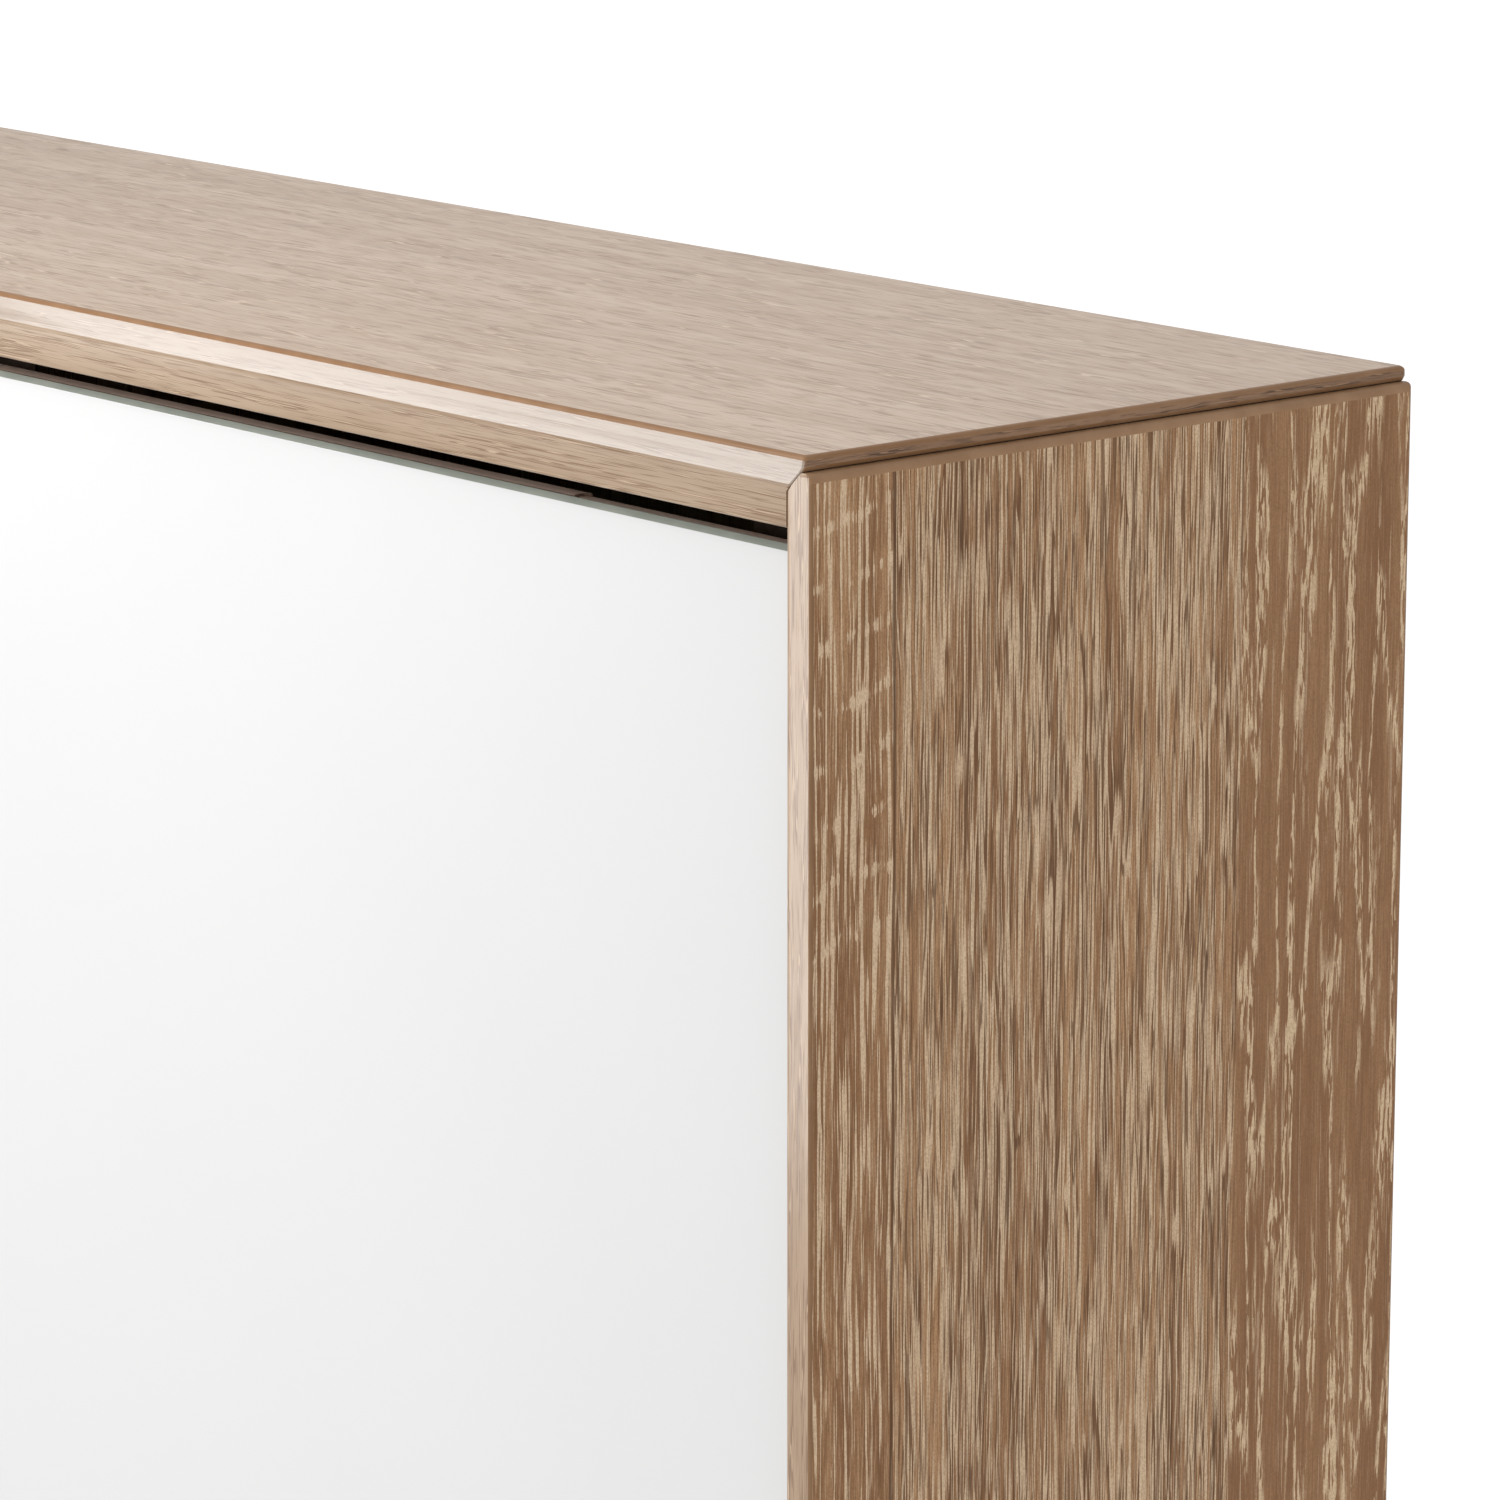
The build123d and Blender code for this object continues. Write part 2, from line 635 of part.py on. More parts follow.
def wheel(x, front):
    """Nylon wheel with a shallow tread groove and a bore for its axle."""
    wheel_v = front + CARRIER_BACK - WHEEL_REACH
    half, lip = WHEEL_WIDTH / 2, WHEEL_GROOVE_HALF
    bore = AXLE_RADIUS + AXLE_CLEARANCE
    rim = WHEEL_RADIUS
    groove = rim - WHEEL_TREAD_GROOVE
    points = [(bore, -half), (rim, -half), (rim, -lip), (groove, 0)]
    points += [(rim, lip), (rim, half), (bore, half)]
    shape = revolve(make_face(Polyline(*points, close=True)), Axis.Y)
    return Pos(x, from_front(wheel_v + half), axle_height()) * shape


def hanger_screws(side, front):
    v = front + CARRIER_BACK + HANGER_THICK
    screws = []
    for x in hanger_places(side):
        for end in SIDES:
            for drop in HANGER_SCREW_DROPS:
                place = Pos(x + end * HANGER_SCREW_X, from_front(v), from_top(DOOR_TOP + drop))
                screws.append(place * screw("-y"))
    return screws


def bottom_guides(side, front):
    """Plastic guides in the board's lower edge, each with a fin down in the guide slot."""
    v = front + CARRIER_FRONT + CARRIER / 2
    half, fin = GUIDE_HALF, GUIDE_SLOT / 2 - FIN_PLAY
    tip = FLOOR_TOP + TRACK_WALL + FIN_CLEAR
    guides = []
    for x in hanger_places(side):
        x0, x1 = x - GUIDE_LENGTH / 2, x + GUIDE_LENGTH / 2
        guide = block(x0, x1, v - half, v + half, DOOR_BOTTOM - GUIDE_BELOW, DOOR_BOTTOM + GUIDE_SUNK)
        guide += block(x0 + FIN_INSET, x1 - FIN_INSET, v - fin, v + fin, tip, DOOR_BOTTOM)
        guides.append(guide)
    return guides


def door(side, index):
    """All pieces of one door, by name. The right door runs in front of the left one."""
    name = "door_right_" if side > 0 else "door_left_"
    front = DOOR_FRONT + index * DOOR_PITCH
    screws = hanger_screws(side, front)
    guides = bottom_guides(side, front)
    board = carrier_board(side, front)
    plates = hangers(side, front)
    for piece in screws + guides:
        board -= piece
    for piece in screws:
        plates = [plate - piece for plate in plates]
    pieces = {
        "glass": glass_pane(side, front),
        "board": board,
        "bond_strips": bond_strips(side, front),
        "grip_profile": grip_profile(side, front),
        "hangers": plates,
        "hanger_screws": screws,
        "axles": axles(side, front),
        "bottom_guides": guides,
    }
    for number, x in enumerate(axle_places(side), start=1):
        pieces[f"wheel_{number}"] = wheel(x, front)
    return {name + piece: shape for piece, shape in pieces.items()}


# ---- the whole wardrobe ----
def without(shape, tools):
    """The shape with the tools that reach into it cut away."""
    for tool in tools:
        shape -= tool
    return shape


def wardrobe():
    pins, pegs = shelf_pins(), dowels()
    screws = angle_screws()
    in_track = track_screws()
    angles = [without(angle, screws) for angle in corner_angles()]
    parts = {
        "side_panel_left": without(side_panel(-1), pins + screws),
        "side_panel_right": without(side_panel(1), pins + screws),
        "top_panel": without(top_panel(), pegs + screws + in_track),
        "top_fascia": top_fascia(),
        "bottom_panel": without(bottom_panel(), pegs + screws),
        "centre_partition": without(partition(), pegs + pins),
        "partition_dowels": pegs,
        "clothes_rail": clothes_rail(),
        "rail_sockets": rail_sockets(),
        "shelf_pins": pins,
        "top_track": without(top_track(), in_track),
        "track_screws": in_track,
        "track_stops": track_stops(),
        "bottom_track": bottom_track(),
        "corner_angles": angles,
        "angle_screws": screws,
        "levelling_feet": levelling_feet(),
        "side_glides": side_glides(),
        "wall_tabs": wall_tabs(),
    }
    parts.update(plinths())
    parts.update(back_panels())
    parts.update(shelves())
    parts.update(door(1, 0))
    parts.update(door(-1, 1))
    return parts


def main():
    os.makedirs("parts", exist_ok=True)
    for name, shape in wardrobe().items():
        solids = shape if isinstance(shape, list) else shape.solids()
        solids = [solid for piece in solids for solid in piece.solids()]
        whole = solids[0] if len(solids) == 1 else Compound(children=solids)
        export_step(whole, f"parts/{name}.step")


main()
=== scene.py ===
import json
import math

import bmesh
import bpy
from mathutils import Euler, Matrix, Vector

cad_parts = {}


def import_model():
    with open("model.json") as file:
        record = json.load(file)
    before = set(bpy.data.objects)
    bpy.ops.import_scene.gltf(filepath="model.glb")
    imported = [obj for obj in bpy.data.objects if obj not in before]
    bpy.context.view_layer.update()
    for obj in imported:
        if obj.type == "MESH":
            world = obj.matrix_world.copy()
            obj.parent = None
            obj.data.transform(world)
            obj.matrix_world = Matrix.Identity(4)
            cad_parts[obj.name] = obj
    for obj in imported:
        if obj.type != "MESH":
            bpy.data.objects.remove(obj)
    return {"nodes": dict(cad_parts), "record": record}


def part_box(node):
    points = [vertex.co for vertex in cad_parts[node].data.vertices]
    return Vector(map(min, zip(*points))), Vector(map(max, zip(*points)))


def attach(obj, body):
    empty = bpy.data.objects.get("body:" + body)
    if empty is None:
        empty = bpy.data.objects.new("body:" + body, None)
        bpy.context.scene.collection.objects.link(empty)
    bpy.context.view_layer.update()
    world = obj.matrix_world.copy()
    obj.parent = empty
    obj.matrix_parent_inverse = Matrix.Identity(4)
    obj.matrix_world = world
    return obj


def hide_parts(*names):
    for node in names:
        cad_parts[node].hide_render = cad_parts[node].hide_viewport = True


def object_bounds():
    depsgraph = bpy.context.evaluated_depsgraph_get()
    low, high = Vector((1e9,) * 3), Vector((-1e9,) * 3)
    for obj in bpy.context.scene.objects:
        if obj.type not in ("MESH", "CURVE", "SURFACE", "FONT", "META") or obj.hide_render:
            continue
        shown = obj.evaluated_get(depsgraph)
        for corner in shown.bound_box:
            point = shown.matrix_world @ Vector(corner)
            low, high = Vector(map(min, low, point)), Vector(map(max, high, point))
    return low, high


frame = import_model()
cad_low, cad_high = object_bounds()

MM = 0.001

# ---- the carcass, in millimetres, as depths u in from a side, v behind the front, w below the top ----
HALF_W = cad_high[0] / MM
FRONT = cad_low[1] / MM
DEPTH = (cad_high[1] - cad_low[1]) / MM
HEIGHT = cad_high[2] / MM
BOARD = 25.0
EDGE_TILT = 2.5
EDGE_RIDGE = 22.0
EDGE_RETURN = 0.8
END_INSET = 7.0
MITRE_OFFSET = 2.5
GROOVE_TOP = 8.3
GROOVE_DEPTH = 2.0
GROOVE_BOTTOM = 11.5
CROWN_TOP = 12.5
CROWN_RADIUS = 7.0
FASCIA_DROP = 54.5
FASCIA_THICK = 19.0
GLIDE = 4.0                 # the sides stand this far off the floor
TOP_ARRIS = 4.0             # radii of the eased arrises
TOP_CORNER = 3.0
FASCIA_ARRIS = 1.6
FASCIA_REAR_ARRIS = 0.6
OUTER_ARRIS = 3.0
RIDGE_ARRIS = 4.0
INNER_ARRIS = 1.6
REAR_ARRIS = 3.0
V_EDGE = 0.4                # radii at the upper and the inner edge of the open V
V_BOTTOM = 0.3
TOP_FOIL_END = 3.4          # the top's brown foil reaches this far below its face
SIDE_FOIL_END = 2.6         # and the side's this far in from its outer face

# ---- fineness of the meshes ----
ARC_STEPS = 6
CORNER_STEPS = 4
CROWN_STEPS = 8
MERGE = 2e-6                        # metres
LEVEL_MERGE = 1e-4                  # millimetres
CREASE = 32.0                       # degrees; a turn over this is a sharp edge
PANE_CREASE = 12.0
ZONE_CREASE = math.radians(4.0)     # the same where two finishes meet, in radians


# ---- outlines ----
def rounded(points, radii):
    """An open outline with an arc of the given radius at each point that has one."""
    line = []
    last = len(points) - 1
    for i, (point, radius) in enumerate(zip(points, radii)):
        corner = Vector(point)
        if not radius or i in (0, last):
            line.append(corner)
            continue
        before = (Vector(points[i - 1]) - corner).normalized()
        after = (Vector(points[i + 1]) - corner).normalized()
        half = before.angle(after) / 2
        reach = radius / math.tan(half)
        middle = corner + (before + after).normalized() * radius / math.sin(half)
        start = corner + before * reach - middle
        end = corner + after * reach - middle
        sweep = start.angle(end)
        for step in range(ARC_STEPS + 1):
            t = step / ARC_STEPS
            a = math.sin((1 - t) * sweep) / math.sin(sweep)
            b = math.sin(t * sweep) / math.sin(sweep)
            line.append(middle + start * a + end * b)
    return line


def across(line, w, column=0, level=1):
    """The outline's other coordinate at a level, read along its straight pieces."""
    for a, b in zip(line, line[1:]):
        low, high = sorted((a[level], b[level]))
        if low - 1e-9 <= w <= high + 1e-9:
            if high - low < 1e-9:
                return a[column]
            t = (w - a[level]) / (b[level] - a[level])
            return a[column] + t * (b[column] - a[column])
    return line[0][column] if w < line[0][level] else line[-1][column]


def world(x, v, w):
    """Metres from X, the depth behind the front and the drop below the top, in millimetres."""
    return Vector((x * MM, (FRONT + v) * MM, (HEIGHT - w) * MM))


# ---- meshes ----
FIRST_CAP, LAST_CAP = -1, -2


def piece_from(name, points, faces, materials, replaced, body="carcass", smooth=CREASE):
    """A mesh piece; faces are (indices, material number). Sharp edges stay sharp."""
    mesh = bpy.data.meshes.new(name)
    mesh.from_pydata([tuple(p) for p in points], [], [f for f, _ in faces])
    for polygon, (_, number) in zip(mesh.polygons, faces):
        polygon.material_index = number
    for material in materials:
        mesh.materials.append(material)
    work = bmesh.new()
    work.from_mesh(mesh)
    bmesh.ops.remove_doubles(work, verts=work.verts, dist=MERGE)
    bmesh.ops.dissolve_degenerate(work, edges=work.edges, dist=MERGE)
    bmesh.ops.recalc_face_normals(work, faces=work.faces)
    for face in work.faces:
        face.smooth = True
    limit = math.radians(smooth)
    for edge in work.edges:
        faces_here = edge.link_faces
        if len(faces_here) != 2:
            edge.smooth = False
            continue
        same_zone = faces_here[0].material_index == faces_here[1].material_index
        edge.smooth = edge.calc_face_angle(math.pi) < (limit if same_zone else ZONE_CREASE)
    work.to_mesh(mesh)
    work.free()
    piece = bpy.data.objects.new(name, mesh)
    bpy.context.scene.collection.objects.link(piece)
    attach(piece, body)
    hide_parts(*replaced)


def centre_of(points):
    return sum((Vector(p) for p in points), Vector()) / len(points)


def stack(name, rings, zone, materials, replaced, body="carcass", smooth=CREASE):
    """Joins equal rings of points into a closed shell. zone(row, centre) picks the material number;
    row is FIRST_CAP or LAST_CAP for the two ends."""
    points = [p for ring in rings for p in ring]
    count = len(rings[0])
    faces = []
    for row in range(len(rings) - 1):
        for column in range(count):
            a = row * count + column
            b = row * count + (column + 1) % count
            quad = (a, b, b + count, a + count)
            faces.append((quad, zone(row, centre_of([points[i] for i in quad]))))
    last = (len(rings) - 1) * count
    faces.append((tuple(range(count)), zone(FIRST_CAP, centre_of(rings[0]))))
    faces.append((tuple(range(last, last + count)), zone(LAST_CAP, centre_of(rings[-1]))))
    piece_from(name, points, faces, materials, replaced, body, smooth)


def plan_ring(half_x, v0, v1, w, radius):
    """A level rectangle with rounded corners, anticlockwise from the front left."""
    ring = []
    corners = ((-1, v0, 1, 180), (1, v0, 1, 270), (1, v1, -1, 0), (-1, v1, -1, 90))
    for side, v, inward, start in corners:
        cx = side * (half_x - radius)
        cv = v + inward * radius
        for step in range(CORNER_STEPS + 1):
            angle = math.radians(start + 90 * step / CORNER_STEPS)
            ring.append(world(cx + radius * math.cos(angle), cv + radius * math.sin(angle), w))
    return ring


# ---- materials ----
class Shader:
    """A principled material and short ways to add the nodes that feed it."""

    def __init__(self, name, roughness=0.4, metallic=0.0, ior=1.5, specular=0.5):
        self.material = bpy.data.materials.new(name)
        self.material.use_nodes = True
        self.tree = self.material.node_tree
        self.bsdf = self.tree.nodes["Principled BSDF"]
        self.bsdf.inputs["Roughness"].default_value = roughness
        self.bsdf.inputs["Metallic"].default_value = metallic
        self.bsdf.inputs["IOR"].default_value = ior
        self.bsdf.inputs["Specular IOR Level"].default_value = specular
        self.spot = self.tree.nodes.new("ShaderNodeTexCoord").outputs["Object"]

    def add(self, kind, *inputs, **settings):
        node = self.tree.nodes.new("ShaderNode" + kind)
        for key, value in settings.items():
            setattr(node, key, value)
        for name, value in inputs:
            self.feed(node.inputs[name], value)
        return node

    def feed(self, socket, value):
        if isinstance(value, bpy.types.NodeSocket):
            self.tree.links.new(value, socket)
        else:
            socket.default_value = value

    def scaled(self, scale, shift=(0.0, 0.0, 0.0), spot=None):
        """Object coordinates, or the given spot, times the scale plus the shift."""
        node = self.add(
            "VectorMath", (0, spot or self.spot), (1, scale), (2, shift), operation="MULTIPLY_ADD"
        )
        return node.outputs[0]

    def noise(self, vector, scale=1.0, detail=2.0, rough=0.5, distortion=0.0):
        node = self.add(
            "TexNoise",
            ("Vector", vector), ("Scale", scale), ("Detail", detail),
            ("Roughness", rough), ("Distortion", distortion),
        )
        return node.outputs["Fac"]

    def ramp(self, factor, low, high, start=0.0, end=1.0):
        """Maps low..high of the factor to start..end, smoothly and clamped."""
        node = self.add(
            "MapRange",
            ("Value", factor), ("From Min", low), ("From Max", high),
            ("To Min", start), ("To Max", end),
            interpolation_type="SMOOTHSTEP",
        )
        return node.outputs["Result"]

    def distance(self, field, level):
        """How far the field is from a level."""
        return self.math("ABSOLUTE", self.math("SUBTRACT", field, level))

    def line(self, field, level, half, strength=1.0):
        """A thin line where the field passes a level."""
        return self.ramp(self.distance(field, level), half * 1.35, half * 0.65, 0.0, strength)

    def math(self, operation, a, b=0.0, c=0.0):
        node = self.add("Math", (0, a), (1, b), (2, c), operation=operation)
        return node.outputs[0]

    def mix(self, factor, a, b):
        """Colour a where the factor is 0, colour b where it is 1."""
        node = self.add("Mix", data_type="RGBA")
        self.feed(node.inputs["Factor"], factor)
        self.feed(node.inputs[6], a if isinstance(a, bpy.types.NodeSocket) else (*a, 1.0))
        self.feed(node.inputs[7], b if isinstance(b, bpy.types.NodeSocket) else (*b, 1.0))
        return node.outputs[2]

    def axis(self, name, spot=None):
        node = self.add("SeparateXYZ", (0, spot or self.spot))
        return node.outputs[name]

    def finish(self, colour, roughness=None, height=None, depth=0.0001, strength=1.0):
        """Links the colour, the roughness and a bump of the given depth in metres."""
        self.feed(self.bsdf.inputs["Base Color"], colour)
        if roughness is not None:
            self.feed(self.bsdf.inputs["Roughness"], roughness)
        if height is not None:
            bump = self.add("Bump", ("Height", height), ("Distance", depth), ("Strength", strength))
            self.feed(self.bsdf.inputs["Normal"], bump.outputs[0])
        return self.material


def grain_scale(along, across_per_m, along_per_m):
    """Frequencies per metre for a vector, low along the grain and high across it."""
    return tuple(along_per_m if axis == along else across_per_m for axis in "XYZ")


def wavy(shader, along, amount, across_per_m, along_per_m):
    """Object coordinates bent a little from side to side, so that the fibres wander."""
    field = shader.add(
        "TexNoise", ("Vector", shader.scaled(grain_scale(along, across_per_m, along_per_m))),
        ("Scale", 1.0), ("Detail", 2.0),
    )
    centred = shader.add("VectorMath", (0, field.outputs["Color"]), (1, (-0.5,) * 3), operation="ADD")
    bend = shader.add("VectorMath", (0, centred.outputs[0]), (1, (amount,) * 3), operation="MULTIPLY")
    moved = shader.add("VectorMath", (0, shader.spot), (1, bend.outputs[0]), operation="ADD")
    return moved.outputs[0]


# the side's print, in metres behind the front and below the top
FRONT_PLANK_END = 0.082
REAR_PLANK_START = 0.438
PLANK_JOINT = 0.0822
SAW_PITCH = 0.045           # rungs of saw marks
SAW_SLANT = 0.22
SAW_REPEAT = 0.92           # one patch of rungs in each such length
CREAM = (0.595, 0.445, 0.298)
STROKE_SHADE = (0.125, 0.062, 0.030)
THIN_CREAM = (0.590, 0.440, 0.292)
THIN_SHADE = (0.115, 0.057, 0.028)
SEAM = (0.080, 0.038, 0.019)
REAR_PLANK = (0.225, 0.115, 0.056)
FLECK = (0.61, 0.455, 0.295)


def saw_marks(s, v, front_plank):
    """Rungs across the front plank, in patches, each one uneven."""
    w = s.math("SUBTRACT", HEIGHT * MM, s.axis("Z"))
    slant = s.math("MULTIPLY", v, SAW_SLANT)
    jitter = s.math("MULTIPLY", s.noise(s.scaled((1.0, 24.0, 7.0)), detail=2.0), 0.022)
    phase = s.math("DIVIDE", s.math("ADD", s.math("ADD", w, slant), jitter), SAW_PITCH)
    rung = s.ramp(s.distance(s.math("FRACT", phase), 0.5), 0.17, 0.03)
    repeat = s.math("FRACT", s.math("DIVIDE", w, SAW_REPEAT))
    patch = s.math("MULTIPLY", s.ramp(repeat, 0.00, 0.05), s.ramp(repeat, 0.48, 0.36))
    marks = s.math("MULTIPLY", rung, s.math("MULTIPLY", front_plank, patch))
    uneven = s.noise(s.scaled((1.0, 55.0, 30.0), (0.0, 4.0, 7.0)), detail=2.0)
    return s.math("MULTIPLY", marks, s.ramp(uneven, 0.42, 0.54))


def sawn_oak_side():
    """Upright sawn oak: cream and dark streaks, saw marks by the front, a flecked plank at the rear."""
    s = Shader("sawn_oak_upright", specular=0.08)
    bent = wavy(s, "Z", 0.0065, 22.0, 5.0)

    def fibres(across_per_m, along_per_m, shift=(0.0, 0.0, 0.0), **settings):
        """Noise drawn out along the grain."""
        place = s.scaled(grain_scale("Z", across_per_m, along_per_m), shift, bent)
        return s.noise(place, **settings)

    v = s.math("SUBTRACT", s.axis("Y", bent), FRONT * MM)
    rear_plank = s.ramp(v, REAR_PLANK_START - 0.0005, REAR_PLANK_START + 0.0005)
    front_plank = s.ramp(v, FRONT_PLANK_END + 0.002, FRONT_PLANK_END - 0.002)
    middle_plank = s.math("SUBTRACT", 1.0, s.math("MAXIMUM", rear_plank, front_plank))

    # the ground: slow changes of tone, and hair-fine fibres over them
    tone = s.ramp(fibres(30.0, 1.2, detail=3.0), 0.36, 0.64)
    colour = s.mix(tone, (0.215, 0.107, 0.050), (0.360, 0.205, 0.104))
    hair = fibres(820.0, 22.0, detail=2.0, rough=0.7)
    colour = s.mix(s.ramp(hair, 0.52, 0.62, 0.0, 0.45), colour, (0.48, 0.325, 0.200))
    colour = s.mix(s.ramp(hair, 0.46, 0.36, 0.0, 0.55), colour, (0.150, 0.076, 0.038))

    # cream strokes, each with a painted shadow line along its rear side as on a raised fibre;
    # they thicken at the saw marks and are fewer on the middle and rear planks
    marks = saw_marks(s, v, front_plank)
    strokes = fibres(340.0, 6.5, detail=2.0, rough=0.65)
    amount = fibres(36.0, 3.0, (4.0, 4.0, 4.0), detail=2.0)
    lifted = s.math("ADD", strokes, s.math("MULTIPLY_ADD", amount, 0.11, -0.055))
    lifted = s.math("ADD", lifted, s.math("MULTIPLY", marks, 0.085))
    lifted = s.math("SUBTRACT", lifted, s.math("MULTIPLY", rear_plank, 0.10))
    lifted = s.math("SUBTRACT", lifted, s.math("MULTIPLY", middle_plank, 0.055))
    cream = s.ramp(lifted, 0.530, 0.568, 0.0, 0.92)
    # painted shadow: a dark line just behind each cream stroke
    lines = fibres(340.0, 6.5, (0.36, 0.36, 0.0), detail=2.0, rough=0.65)
    dark = s.ramp(lines, 0.545, 0.60, 0.0, 0.80)
    dark = s.math("MULTIPLY", dark, s.math("MULTIPLY_ADD", middle_plank, 0.45, 0.55))
    colour = s.mix(dark, colour, STROKE_SHADE)
    colour = s.mix(cream, colour, CREAM)

    # long thin cream lines, each with its dark shadow line, over the middle plank
    for period, shift in ((150.0, 3.0), (120.0, 13.0), (90.0, 23.0)):
        contour = fibres(period, 2.4, (shift, shift, 0.0), detail=2.0, rough=0.6)
        broken = s.ramp(fibres(60.0, 9.0, (shift, 1.0, shift), detail=2.0), 0.40, 0.52)
        shade = s.math("MULTIPLY", s.line(contour, 0.540, 0.015, 0.75), broken)
        colour = s.mix(s.math("MULTIPLY", shade, middle_plank), colour, THIN_SHADE)
        light = s.math("MULTIPLY", s.line(contour, 0.5, 0.021, 0.80), broken)
        colour = s.mix(s.math("MULTIPLY", light, middle_plank), colour, THIN_CREAM)

    # a few long dark seams, one of them along the front plank's rear edge
    seam_field = fibres(105.0, 1.6, (9.0, 5.0, 1.0), detail=2.0, rough=0.6)
    seam = s.ramp(s.distance(seam_field, 0.53), 0.016, 0.005, 0.0, 0.75)
    gaps = s.ramp(fibres(40.0, 7.0, (2.0, 2.0, 2.0), detail=2.0), 0.46, 0.58)
    seam = s.math("MULTIPLY", s.math("MULTIPLY", seam, gaps), middle_plank)
    joint = s.ramp(s.distance(v, PLANK_JOINT), 0.0019, 0.0007, 0.0, 0.8)
    colour = s.mix(s.math("MAXIMUM", seam, joint), colour, SEAM)

    # the plank at the rear: darker, its cream flecks gathered in slanting, wandering bands
    colour = s.mix(s.math("MULTIPLY", rear_plank, 0.55), colour, REAR_PLANK)
    band = s.ramp(s.distance(fibres(46.0, 3.4, (1.0, 7.0, 2.0), detail=2.0), 0.5), 0.075, 0.015)
    fleck_field = fibres(420.0, 40.0, detail=2.0, distortion=0.4)
    fleck = s.math("MULTIPLY", s.ramp(fleck_field, 0.47, 0.52), band)
    colour = s.mix(s.math("MULTIPLY", fleck, s.math("MULTIPLY", rear_plank, 0.92)), colour, FLECK)

    speck = s.noise(s.scaled((900.0, 900.0, 600.0)), detail=2.0)
    colour = s.mix(s.ramp(speck, 0.40, 0.65, 0.0, 0.30), colour, (0.13, 0.066, 0.033))
    height = s.math("SUBTRACT", strokes, lines)
    return s.finish(colour, s.ramp(hair, 0.3, 0.7, 0.44, 0.56), height, 0.00012, 0.5)


def pale_oak(
    name, along, tones, shift, lengths=(300.0, 11.0), contrast=0.6, rough=(0.30, 0.42), gloss=0.5
):
    """Quiet oak: broken dark lines and a few pale ones along the grain. The tones are light, middle
    and dark; lengths are the fibres' frequencies per metre across and along the grain."""
    s = Shader(name, specular=gloss)
    bent = wavy(s, along, 0.005, 11.0, 3.0)
    light, mid, dark = tones
    across_per_m, along_per_m = lengths

    def fibres(wide, long, shift=(0.0, 0.0, 0.0), **settings):
        return s.noise(s.scaled(grain_scale(along, wide, long), shift, bent), **settings)

    tone_field = fibres(30.0, 1.4, (shift, shift, shift), detail=3.0)
    colour = s.mix(s.ramp(tone_field, 0.38, 0.62), light, mid)
    hair = fibres(across_per_m * 1.6, along_per_m * 2.0, detail=2.0, rough=0.7)
    colour = s.mix(s.ramp(hair, 0.50, 0.62, 0.0, 0.7 * contrast), colour, mid)
    colour = s.mix(s.ramp(hair, 0.56, 0.66, 0.0, 0.5 * contrast), colour, dark)
    contour = fibres(across_per_m * 0.42, along_per_m * 0.35, (shift, 2.0, shift), detail=2.0, rough=0.6)
    broken = s.ramp(fibres(across_per_m * 0.30, along_per_m, (2.0, shift, 1.0), detail=2.0), 0.42, 0.54)
    pale = tuple(min(1.0, 1.22 * c) for c in light)
    for level, half, tint in ((0.56, 0.020, dark), (0.49, 0.022, dark), (0.525, 0.012, pale)):
        line = s.math("MULTIPLY", s.line(contour, level, half, contrast), broken)
        colour = s.mix(line, colour, tint)
    speck = s.noise(s.scaled((1300.0, 1300.0, 1300.0)), detail=1.0)
    colour = s.mix(s.ramp(speck, 0.62, 0.74, 0.0, 0.12), colour, dark)
    return s.finish(colour, s.ramp(hair, 0.3, 0.7, *rough), contour, 0.00010, 0.25)


def plain_arris(name, base, worn, shift):
    """Plain brown foil round an arris, a little rubbed, with dust-fine specks."""
    s = Shader(name, specular=0.2)
    patch = s.noise(s.scaled((30.0, 30.0, 30.0), (shift, 0.0, 0.0)), detail=3.0)
    colour = s.mix(s.ramp(patch, 0.35, 0.70), base, worn)
    speck = s.noise(s.scaled((2200.0, 2200.0, 2200.0)), detail=1.0)
    bright = tuple(min(1.0, 1.8 * c) for c in worn)
    colour = s.mix(s.ramp(speck, 0.68, 0.76, 0.0, 0.5), colour, bright)
    return s.finish(colour, s.ramp(patch, 0.3, 0.7, 0.34, 0.48), speck, 0.00003, 0.3)


def grainy(
    name, base, shade, scale=220.0, rough=(0.35, 0.55), metallic=0.0, depth=0.00003,
    brushed=None, spec=0.5,
):
    """Moulded, coated or metal surface: mottled colour, uneven gloss and a fine bump. The scale is
    the mottle's frequency per metre, and brushed is the axis that the marks run along."""
    s = Shader(name, metallic=metallic, specular=spec)
    step = grain_scale(brushed, scale * 6, scale / 12) if brushed else (scale, scale, scale)
    mottle = s.noise(s.scaled(step), detail=4.0, rough=0.6)
    cloud = s.noise(s.scaled((9.0, 9.0, 9.0)), detail=3.0)
    colour = s.mix(s.ramp(mottle, 0.3, 0.7), base, shade)
    colour = s.mix(s.ramp(cloud, 0.4, 0.75, 0.0, 0.35), colour, shade)
    return s.finish(colour, s.ramp(mottle, 0.3, 0.7, *rough), mottle, depth, 0.4)


def painted_glass():
    """Back-painted pane: even white under a clear polished front."""
    s = Shader("painted_glass", roughness=0.03, ior=1.52)
    cloud = s.noise(s.scaled((1.6, 1.6, 1.6)), detail=2.0)
    colour = s.mix(s.ramp(cloud, 0.3, 0.7), (0.543, 0.543, 0.543), (0.553, 0.553, 0.553))
    smear = s.noise(s.scaled((7.0, 7.0, 3.0)), detail=4.0)
    return s.finish(colour, s.ramp(smear, 0.3, 0.8, 0.02, 0.07), cloud, 0.0002, 0.02)


